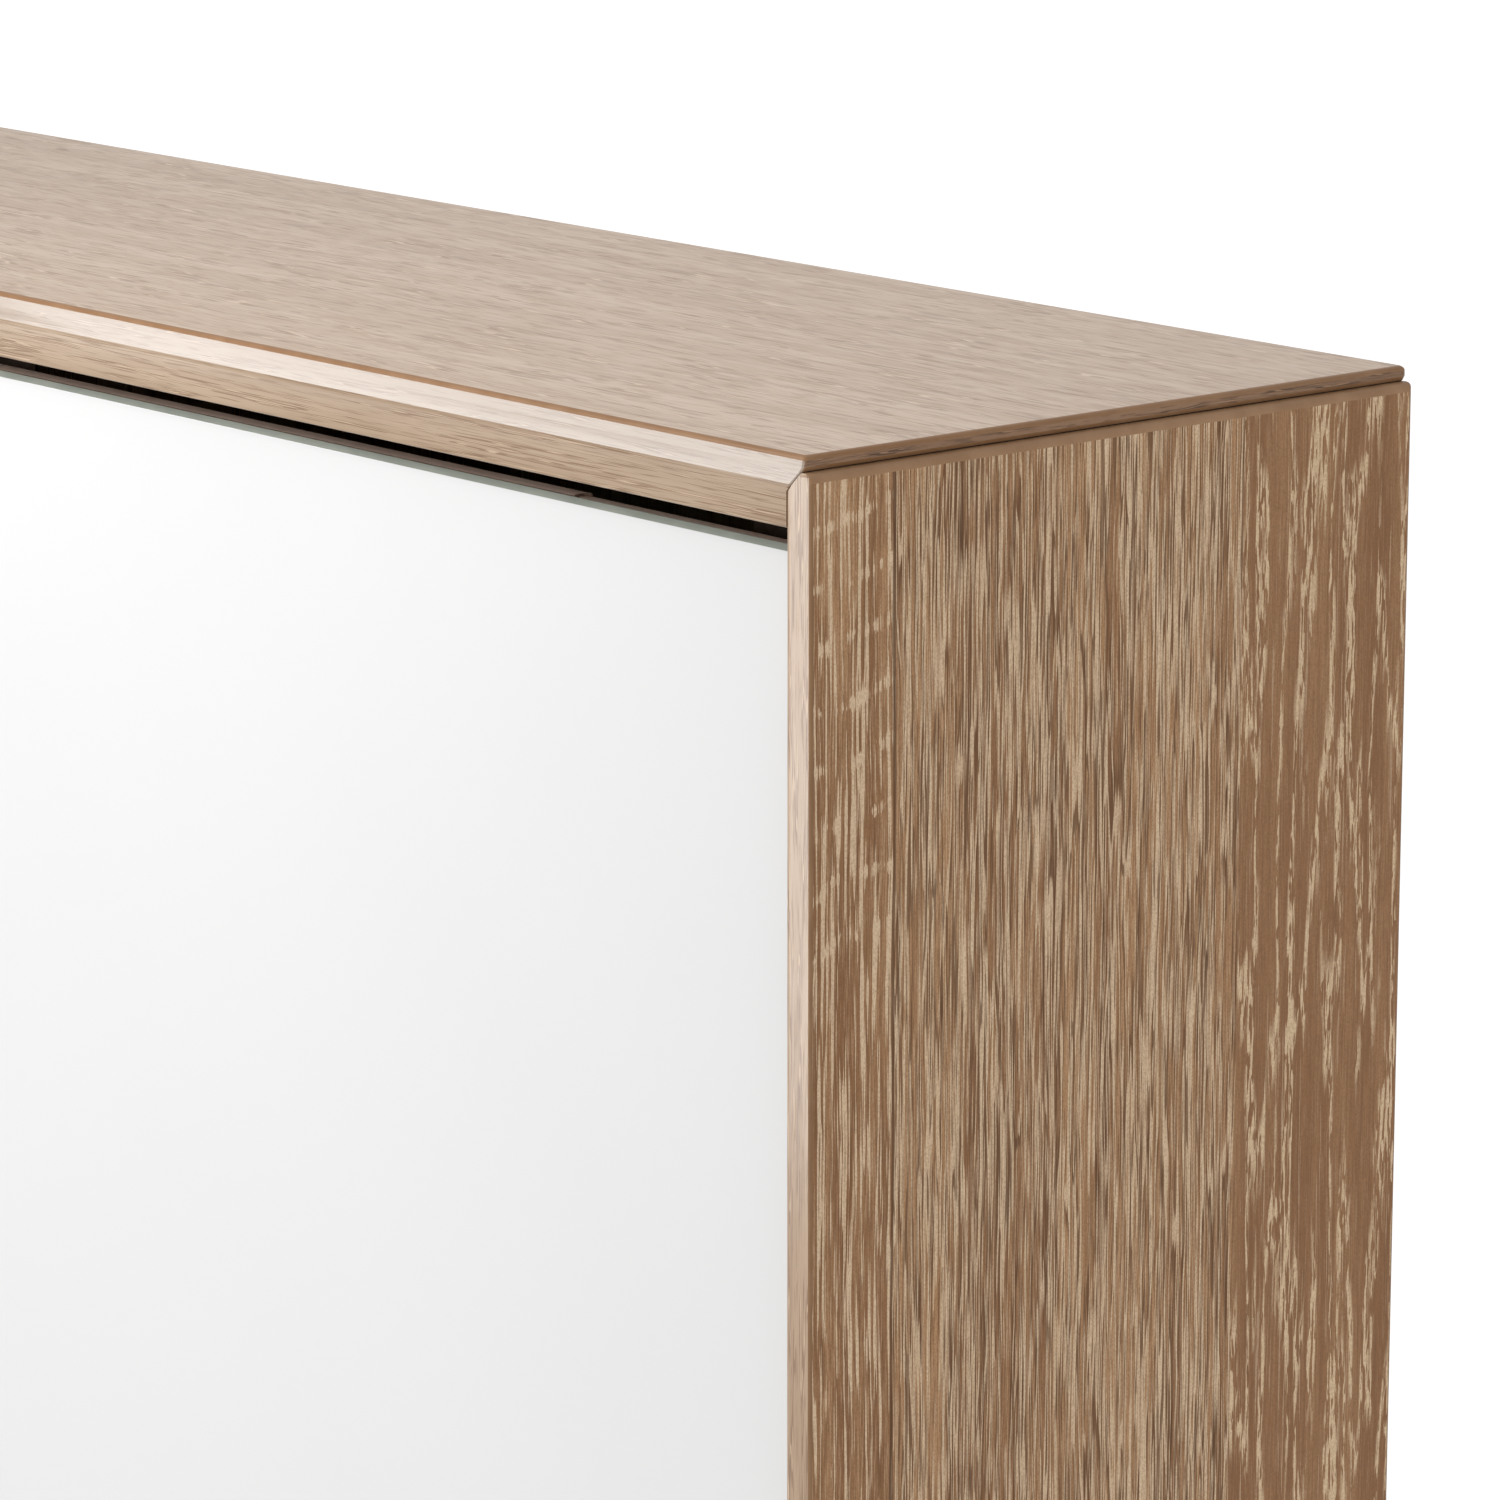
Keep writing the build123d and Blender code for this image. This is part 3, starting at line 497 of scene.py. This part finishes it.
def glass_edge():
    """Polished green edge of the pane, uneven in tone."""
    s = Shader("glass_edge", ior=1.52)
    cloud = s.noise(s.scaled((25.0, 60.0, 60.0)), detail=3.0)
    colour = s.mix(s.ramp(cloud, 0.3, 0.7), (0.285, 0.310, 0.270), (0.345, 0.365, 0.320))
    streak = s.noise(s.scaled((900.0, 60.0, 60.0)), detail=2.0)
    return s.finish(colour, s.ramp(streak, 0.3, 0.7, 0.08, 0.16), streak, 0.00002, 0.2)


def door_board():
    """Brown melamine with a fine printed fibre; the edge band along its top is paler, and painted paler
    still as painted light for the fascia's shadow that it lies in.
    """
    s = Shader("door_melamine")
    fibre = s.noise(s.scaled(grain_scale("X", 420.0, 16.0), (4.0, 2.0, 4.0)), detail=3.0, rough=0.62)
    face = s.mix(s.ramp(fibre, 0.38, 0.62), (0.255, 0.168, 0.125), (0.165, 0.104, 0.073))
    # painted light: a much paler brown on the upward faces, where the top edge lies in the fascia's
    # shadow
    band = s.mix(s.ramp(fibre, 0.38, 0.62), (0.86, 0.66, 0.55), (0.76, 0.57, 0.47))
    painted_light_facing_up = s.axis("Z", s.add("TexCoord").outputs["Normal"])
    colour = s.mix(s.ramp(painted_light_facing_up, 0.7, 0.9), face, band)
    return s.finish(colour, s.ramp(fibre, 0.3, 0.7, 0.38, 0.5), fibre, 0.00006, 0.3)


OAK_UPRIGHT = sawn_oak_side()
OAK_TOP = pale_oak(
    "oak_top", "X", ((0.474, 0.352, 0.254), (0.410, 0.290, 0.200), (0.255, 0.158, 0.092)),
    0.0, (215.0, 12.0), 0.75,
)
OAK_BAND = pale_oak(
    "oak_band", "X", ((0.320, 0.235, 0.162), (0.248, 0.170, 0.108), (0.155, 0.090, 0.048)),
    6.0, (620.0, 8.0), 0.85, (0.16, 0.24), 0.32,
)
OAK_FACET = pale_oak(
    "oak_facet", "X", ((0.280, 0.215, 0.162), (0.245, 0.180, 0.128), (0.180, 0.122, 0.082)),
    7.0, (430.0, 12.0), 0.5, (0.14, 0.19), 0.80,
)
OAK_BAND_UPRIGHT = pale_oak(
    "oak_band_upright", "Z", ((0.345, 0.240, 0.155), (0.283, 0.182, 0.107), (0.180, 0.104, 0.056)),
    2.0, (430.0, 12.0), 0.85, (0.15, 0.22), 0.75,
)
OAK_END = pale_oak(
    "oak_end", "Y", ((0.240, 0.140, 0.080), (0.175, 0.096, 0.052), (0.070, 0.036, 0.019)),
    3.0, (500.0, 18.0), 0.8, (0.4, 0.5), 0.25,
)
ARRIS_TOP = plain_arris("arris_top", (0.215, 0.112, 0.052), (0.250, 0.138, 0.070), 0.0)
ARRIS_SIDE = plain_arris("arris_side", (0.185, 0.100, 0.048), (0.220, 0.126, 0.064), 3.0)
CROWN = plain_arris("side_crown", (0.250, 0.140, 0.072), (0.290, 0.170, 0.092), 8.0)
CORE = grainy("raw_core", (0.055, 0.035, 0.022), (0.035, 0.022, 0.014), 400.0, (0.8, 0.95))
GLASS_FRONT = painted_glass()
GLASS_EDGE = glass_edge()
DOOR_BOARD = door_board()
INSIDE_TONES = ((0.40, 0.275, 0.185), (0.31, 0.200, 0.128), (0.16, 0.095, 0.055))
OAK_INSIDE = pale_oak("oak_inside", "X", INSIDE_TONES, 8.0, (240.0, 9.0), 0.7, (0.42, 0.55))
OAK_INSIDE_UPRIGHT = pale_oak(
    "oak_inside_upright", "Z", INSIDE_TONES, 5.0, (240.0, 9.0), 0.7, (0.42, 0.55)
)


# ---- carcass pieces ----
def levels(*lines):
    """All levels at which any of the outlines has a point, from the top down."""
    found = sorted(p[1] for line in lines for p in line)
    kept = [found[0]]
    for w in found[1:]:
        if w - kept[-1] > LEVEL_MERGE:
            kept.append(w)
    return kept


def make_top():
    """Top board: rounded front and end arrises, tilted front band, open V and mitre at each end."""
    inner = 12    # where an outline starts on the top face, in from its arris
    front = [(inner, 0), (EDGE_TILT, 0), (0, EDGE_RIDGE), (0, BOARD)]
    rear = [(DEPTH - inner, 0), (DEPTH, 0), (DEPTH, BOARD)]
    end = [
        (END_INSET + inner, 0), (END_INSET, 0), (END_INSET, GROOVE_TOP),
        (END_INSET + GROOVE_DEPTH, GROOVE_BOTTOM), (BOARD - MITRE_OFFSET, BOARD),
    ]
    front = rounded(front, [0, TOP_ARRIS, 0, 0])[1:]
    rear = rounded(rear, [0, TOP_ARRIS, 0])[1:]
    end = rounded(end, [0, TOP_ARRIS, V_EDGE, V_BOTTOM, 0])[1:]
    rows = levels(front, rear, end)
    rings = []
    for w in rows:
        half_x = HALF_W - across(end, w)
        rings.append(plan_ring(half_x, across(front, w), across(rear, w), w, TOP_CORNER))

    face, band, foil, core, end_grain, facet = range(6)
    materials = [OAK_TOP, OAK_BAND, ARRIS_TOP, CORE, OAK_END, OAK_FACET]
    end_reach = 24       # an end's faces are within this of the side's outer face
    corner_reach = 2.5   # and this far from the front and the rear

    def zone(row, centre):
        if row == FIRST_CAP:
            return face
        if row == LAST_CAP:
            return core
        w = (rows[row] + rows[row + 1]) / 2
        v = centre.y / MM - FRONT
        if w < TOP_FOIL_END:
            return foil
        if abs(centre.x) > (HALF_W - end_reach) * MM and corner_reach < v < DEPTH - corner_reach:
            if w > GROOVE_BOTTOM:
                return core
            return foil if w > GROOVE_TOP else end_grain
        return facet if w < EDGE_RIDGE and v < EDGE_TILT + 0.5 else band

    stack("top_board", rings, zone, materials, ["top_panel"])


def make_fascia():
    """Strip below the top's front edge, its lower arris eased, its ends on the mitre."""
    reach = 10    # the outlines run this far in along the lower edge
    front = [(0, BOARD), (0, FASCIA_DROP), (reach, FASCIA_DROP)]
    rear = [(FASCIA_THICK, BOARD), (FASCIA_THICK, FASCIA_DROP), (reach, FASCIA_DROP)]
    front = rounded(front, [0, FASCIA_ARRIS, 0])[:-1]
    rear = rounded(rear, [0, FASCIA_REAR_ARRIS, 0])[:-1]
    end = [(BOARD - MITRE_OFFSET, BOARD), (BOARD, BOARD + MITRE_OFFSET), (BOARD, FASCIA_DROP)]
    rings = []
    for w in levels(front, rear, end):
        x = HALF_W - across(end, w)
        v0, v1 = across(front, w), across(rear, w)
        rings.append([world(-x, v0, w), world(x, v0, w), world(x, v1, w), world(-x, v1, w)])
    stack("fascia_strip", rings, lambda row, centre: 0, [OAK_BAND], ["top_fascia"])


def make_side(side):
    """Side board: tilted front band, eased arrises, and the crown and mitre at its top."""
    plan = [(12, DEPTH), (0, DEPTH), (0, EDGE_TILT), (EDGE_RIDGE, 0), (BOARD, EDGE_RETURN), (BOARD, 30)]
    plan = rounded(plan, [0, REAR_ARRIS, OUTER_ARRIS, RIDGE_ARRIS, INNER_ARRIS, 0])
    plan += [Vector((BOARD, DEPTH - 30)), Vector((BOARD, DEPTH))]
    front_reach = 25    # the profiled front edge is within this of the front
    front_line = sorted((p for p in plan if p[1] < front_reach), key=lambda p: p[0])

    # each row is a level and how far in from the outer face the board starts there
    rows = []
    for step in range(CROWN_STEPS + 1):
        angle = math.radians(90 * step / CROWN_STEPS)
        low = CROWN_RADIUS * (1 - math.sin(angle))
        rows.append((CROWN_TOP + CROWN_RADIUS * (1 - math.cos(angle)), low))
    rows += [(w, 0.0) for w in (BOARD + MITRE_OFFSET, 60, HEIGHT / 2, HEIGHT - GLIDE - 2)]
    rings = []
    for w, low in rows:
        high = min(BOARD, w - MITRE_OFFSET)
        ring = []
        for p in plan:
            u = min(max(p[0], low), high)
            v = p[1]
            if v < front_reach and u != p[0]:
                edge = across(front_line, u, 1, 0)
                v = max(v, edge) if u > p[0] else edge
            ring.append(world(side * (HALF_W - u), v, w))
        rings.append(ring)
    # the lower end, its arrises eased by a millimetre or so
    base = []
    for p in plan:
        u = min(max(p[0], 1.0), BOARD - 0.5)
        v = min(max(p[1], 1.5), DEPTH - 1.0)
        base.append(world(side * (HALF_W - u), v, HEIGHT - GLIDE))
    rings.append(base)

    face, band, foil, core, crown = range(5)
    materials = [OAK_UPRIGHT, OAK_BAND_UPRIGHT, ARRIS_SIDE, CORE, CROWN]

    def zone(row, centre):
        if row in (FIRST_CAP, LAST_CAP):
            return crown
        u = HALF_W - abs(centre.x) / MM
        v = centre.y / MM - FRONT
        if row < CROWN_STEPS and u < CROWN_RADIUS + 0.5 and v > EDGE_TILT + 0.1:
            return crown
        middle = (rows[row][0] + rows[row + 1][0]) / 2 if row <= CROWN_STEPS else HEIGHT
        if u > middle - MITRE_OFFSET - 0.5:
            return core
        if u > BOARD - 0.6 or u < 0.05:
            return face
        if v > DEPTH - 6:
            return foil
        return foil if u < SIDE_FOIL_END else band

    name = "right" if side > 0 else "left"
    stack("side_board_" + name, rings, zone, materials, ["side_panel_" + name])


# ---- doors ----
def make_glass(door):
    """Pane with a polished bevel all round its front, and a fine strip of the white front's finish where
    the bevel ends, a painted highlight along that arris.
    """
    node = door + "_glass"
    low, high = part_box(node)
    tall, deep = 4.0 * MM, 5.0 * MM            # the bevel
    line, ease = 0.35 * MM, 0.3 * MM           # the painted highlight strip at the arris, and the eased edges
    x0, x1, z0, z1 = low.x, high.x, low.z, high.z
    front, back = low.y, high.y

    def ring(inset, y):
        return [
            Vector((x0 + inset, y, z0 + inset)), Vector((x1 - inset, y, z0 + inset)),
            Vector((x1 - inset, y, z1 - inset)), Vector((x0 + inset, y, z1 - inset)),
        ]

    rings = [
        ring(tall + line, front), ring(tall, front + 0.08 * MM), ring(ease, front + deep - ease),
        ring(0.0, front + deep), ring(0.0, back - ease), ring(ease, back),
    ]

    def zone(row, centre):
        # painted highlight: row 0, the thin strip at the bevel's foot, takes the white front's finish
        return 0 if row in (FIRST_CAP, 0) else 1

    materials = [GLASS_FRONT, GLASS_EDGE]
    stack(door + "_pane", rings, zone, materials, [node], door, smooth=PANE_CREASE)


# ---- what stays as the CAD made it ----
def dress(name, material):
    """Gives a CAD node its material."""
    slots = frame["nodes"][name].data.materials
    slots.clear()
    slots.append(material)


def dress_fittings():
    """One finish for each material slot of the record, and a few nodes with their own."""
    metal = {"metallic": 1.0}
    finishes = {
        "aluminium": grainy(
            "aluminium", (0.58, 0.58, 0.57), (0.50, 0.50, 0.49), 160.0, (0.25, 0.4),
            depth=0.00002, brushed="X", **metal,
        ),
        "zinc_steel": grainy(
            "zinc_steel", (0.52, 0.495, 0.455), (0.42, 0.395, 0.355), 90.0, (0.3, 0.5), **metal
        ),
        # painted shade: this black stands in for the deep shade under the fascia, where the door hangers
        # with this finish sit
        "black_steel": grainy(
            "black_steel", (0.018, 0.010, 0.006), (0.012, 0.007, 0.004), 120.0, (0.6, 0.8), spec=0.04
        ),
        "chrome_tube": grainy(
            "chrome_tube", (0.72, 0.72, 0.72), (0.66, 0.66, 0.66), 70.0, (0.06, 0.16),
            depth=0.00001, brushed="X", **metal,
        ),
        "nylon": grainy("nylon", (0.72, 0.70, 0.64), (0.64, 0.61, 0.55), 300.0, (0.4, 0.55)),
        "white_plastic": grainy(
            "white_plastic", (0.74, 0.74, 0.72), (0.68, 0.68, 0.66), 300.0, (0.4, 0.55)
        ),
        "black_plastic": grainy(
            "black_plastic", (0.022, 0.022, 0.022), (0.035, 0.035, 0.035), 350.0, (0.45, 0.65),
            depth=0.00006,
        ),
        "rubber": grainy(
            "rubber", (0.016, 0.010, 0.007), (0.024, 0.016, 0.011), 260.0, (0.8, 0.95),
            depth=0.00008, spec=0.1,
        ),
        "foam_tape": grainy(
            "foam_tape", (0.035, 0.034, 0.032), (0.055, 0.053, 0.05), 900.0, (0.85, 0.98), depth=0.0002
        ),
        "beech": pale_oak(
            "beech", "Z", ((0.55, 0.38, 0.22), (0.47, 0.31, 0.17), (0.3, 0.18, 0.09)),
            1.0, (600.0, 30.0), 0.5,
        ),
        "back_board": pale_oak(
            "printed_back", "Z", ((0.46, 0.34, 0.235), (0.39, 0.275, 0.18), (0.22, 0.14, 0.085)),
            11.0, (200.0, 7.0), 0.5, (0.5, 0.62),
        ),
        "oak_laminate": OAK_INSIDE, "door_board": DOOR_BOARD, "white_glass": GLASS_FRONT,
    }
    grip = grainy(
        "aluminium_grip", (0.60, 0.60, 0.59), (0.52, 0.52, 0.51), 160.0, (0.22, 0.36),
        depth=0.00002, brushed="Z", **metal,
    )
    own = {
        "centre_partition": OAK_INSIDE_UPRIGHT,
        "door_right_grip_profile": grip, "door_left_grip_profile": grip,
    }
    for part in frame["record"]["subparts"]:
        node = part["node"]
        dress(node, own.get(node, finishes[part["material_slot"]]))


# ---- studio ----
CORNER = Vector((cad_high[0], cad_low[1], cad_high[2]))
CAMERA_FROM_CORNER = Vector((3.4087, -2.9495, 0.8060))
CAMERA_YAW = 49.669
CAMERA_PITCH = 12.751
CAMERA_ROLL = -0.048
LENS_MM = 153.52
SENSOR_MM = 36.0
VIEW_END = 200.0
WHITE = (1.0, 1.0, 1.0, 1.0)
SKY = 0.85                  # brightness of the white room
FLOOR_HALF = 90.0
FLOOR_GLOW = 0.27
GLINT_DISTANCE = 3.6        # low softbox that the tilted front bands mirror
GLINT_DIRECTION = Vector((-0.7455, -0.6665, 0.0))
GLINT_DROP = 0.55           # its lower edge below the wardrobe's top
GLINT_SIZE = (2.0, 0.80)
GLINT_ASIDE = -0.12
GLINT_RADIANCE = 3.45
STRIP_FROM_CORNER = Vector((-1.79, -2.41, -0.93))    # mirrored by the side's front strip
STRIP_SIZE = (0.5, 1.0)
STRIP_RADIANCE = 3.1
KEY_FROM_CORNER = Vector((-1.1, -1.5, 1.15))
KEY_TARGET = Vector((0.3, cad_low[1], 1.7))
KEY_SIZE = (0.9, 0.9)
KEY_WATTS = 32.0


def make_camera():
    data = bpy.data.cameras.new("camera")
    data.lens = LENS_MM
    data.sensor_width = SENSOR_MM
    data.clip_end = VIEW_END
    camera = bpy.data.objects.new("camera", data)
    camera.location = CORNER + CAMERA_FROM_CORNER
    level = Euler((math.radians(90.0 - CAMERA_PITCH), 0.0, math.radians(CAMERA_YAW))).to_matrix()
    roll = Matrix.Rotation(math.radians(CAMERA_ROLL), 3, "Z")
    camera.rotation_euler = (level @ roll).to_euler()
    bpy.context.scene.collection.objects.link(camera)
    bpy.context.scene.camera = camera


def softbox(name, centre, target, size, watts):
    """A rectangular light, its height upright, that the camera itself doesn't see."""
    data = bpy.data.lights.new(name, "AREA")
    data.shape = "RECTANGLE"
    data.size, data.size_y = size
    data.energy = watts
    light = bpy.data.objects.new(name, data)
    light.location = centre
    light.rotation_euler = (target - centre).to_track_quat("-Z", "Y").to_euler()
    light.visible_camera = False
    bpy.context.scene.collection.objects.link(light)


def watts_for(radiance, size):
    """Power at which a softbox of this size looks this bright."""
    return 4 * radiance * size[0] * size[1]


def make_room():
    scene = bpy.context.scene
    scene.view_settings.view_transform = "Standard"
    scene.view_settings.look = "None"
    room = bpy.data.worlds.new("studio")
    room.use_nodes = True
    background = room.node_tree.nodes["Background"]
    background.inputs["Color"].default_value = WHITE
    background.inputs["Strength"].default_value = SKY
    scene.world = room


def make_floor():
    mesh = bpy.data.meshes.new("floor")
    corners = [(-1, -1), (1, -1), (1, 1), (-1, 1)]
    points = [(x * FLOOR_HALF, y * FLOOR_HALF, cad_low[2]) for x, y in corners]
    mesh.from_pydata(points, [], [(0, 1, 2, 3)])
    floor = bpy.data.objects.new("floor", mesh)
    bpy.context.scene.collection.objects.link(floor)
    paper = Shader("paper_floor", roughness=0.9)
    cloud = paper.noise(paper.scaled((0.8, 0.8, 0.8)), detail=2.0)
    paper.bsdf.inputs["Emission Strength"].default_value = FLOOR_GLOW
    paper.bsdf.inputs["Emission Color"].default_value = WHITE
    mesh.materials.append(paper.finish(paper.mix(cloud, (0.93, 0.93, 0.93), (0.95, 0.95, 0.95))))


def make_lights():
    target = CORNER + Vector((GLINT_ASIDE, 0.0, GLINT_SIZE[1] / 2 - GLINT_DROP))
    glint = target + GLINT_DIRECTION * GLINT_DISTANCE
    softbox("glint_softbox", glint, target, GLINT_SIZE, watts_for(GLINT_RADIANCE, GLINT_SIZE))
    strip = CORNER + STRIP_FROM_CORNER
    target = Vector((CORNER.x, CORNER.y, strip.z))
    softbox("strip_softbox", strip, target, STRIP_SIZE, watts_for(STRIP_RADIANCE, STRIP_SIZE))
    softbox("key_softbox", CORNER + KEY_FROM_CORNER, KEY_TARGET, KEY_SIZE, KEY_WATTS)


make_camera()
make_room()
make_floor()
make_lights()
dress_fittings()
make_top()
make_fascia()
make_side(-1)
make_side(1)
make_glass("door_right")
make_glass("door_left")

bpy.context.view_layer.update()
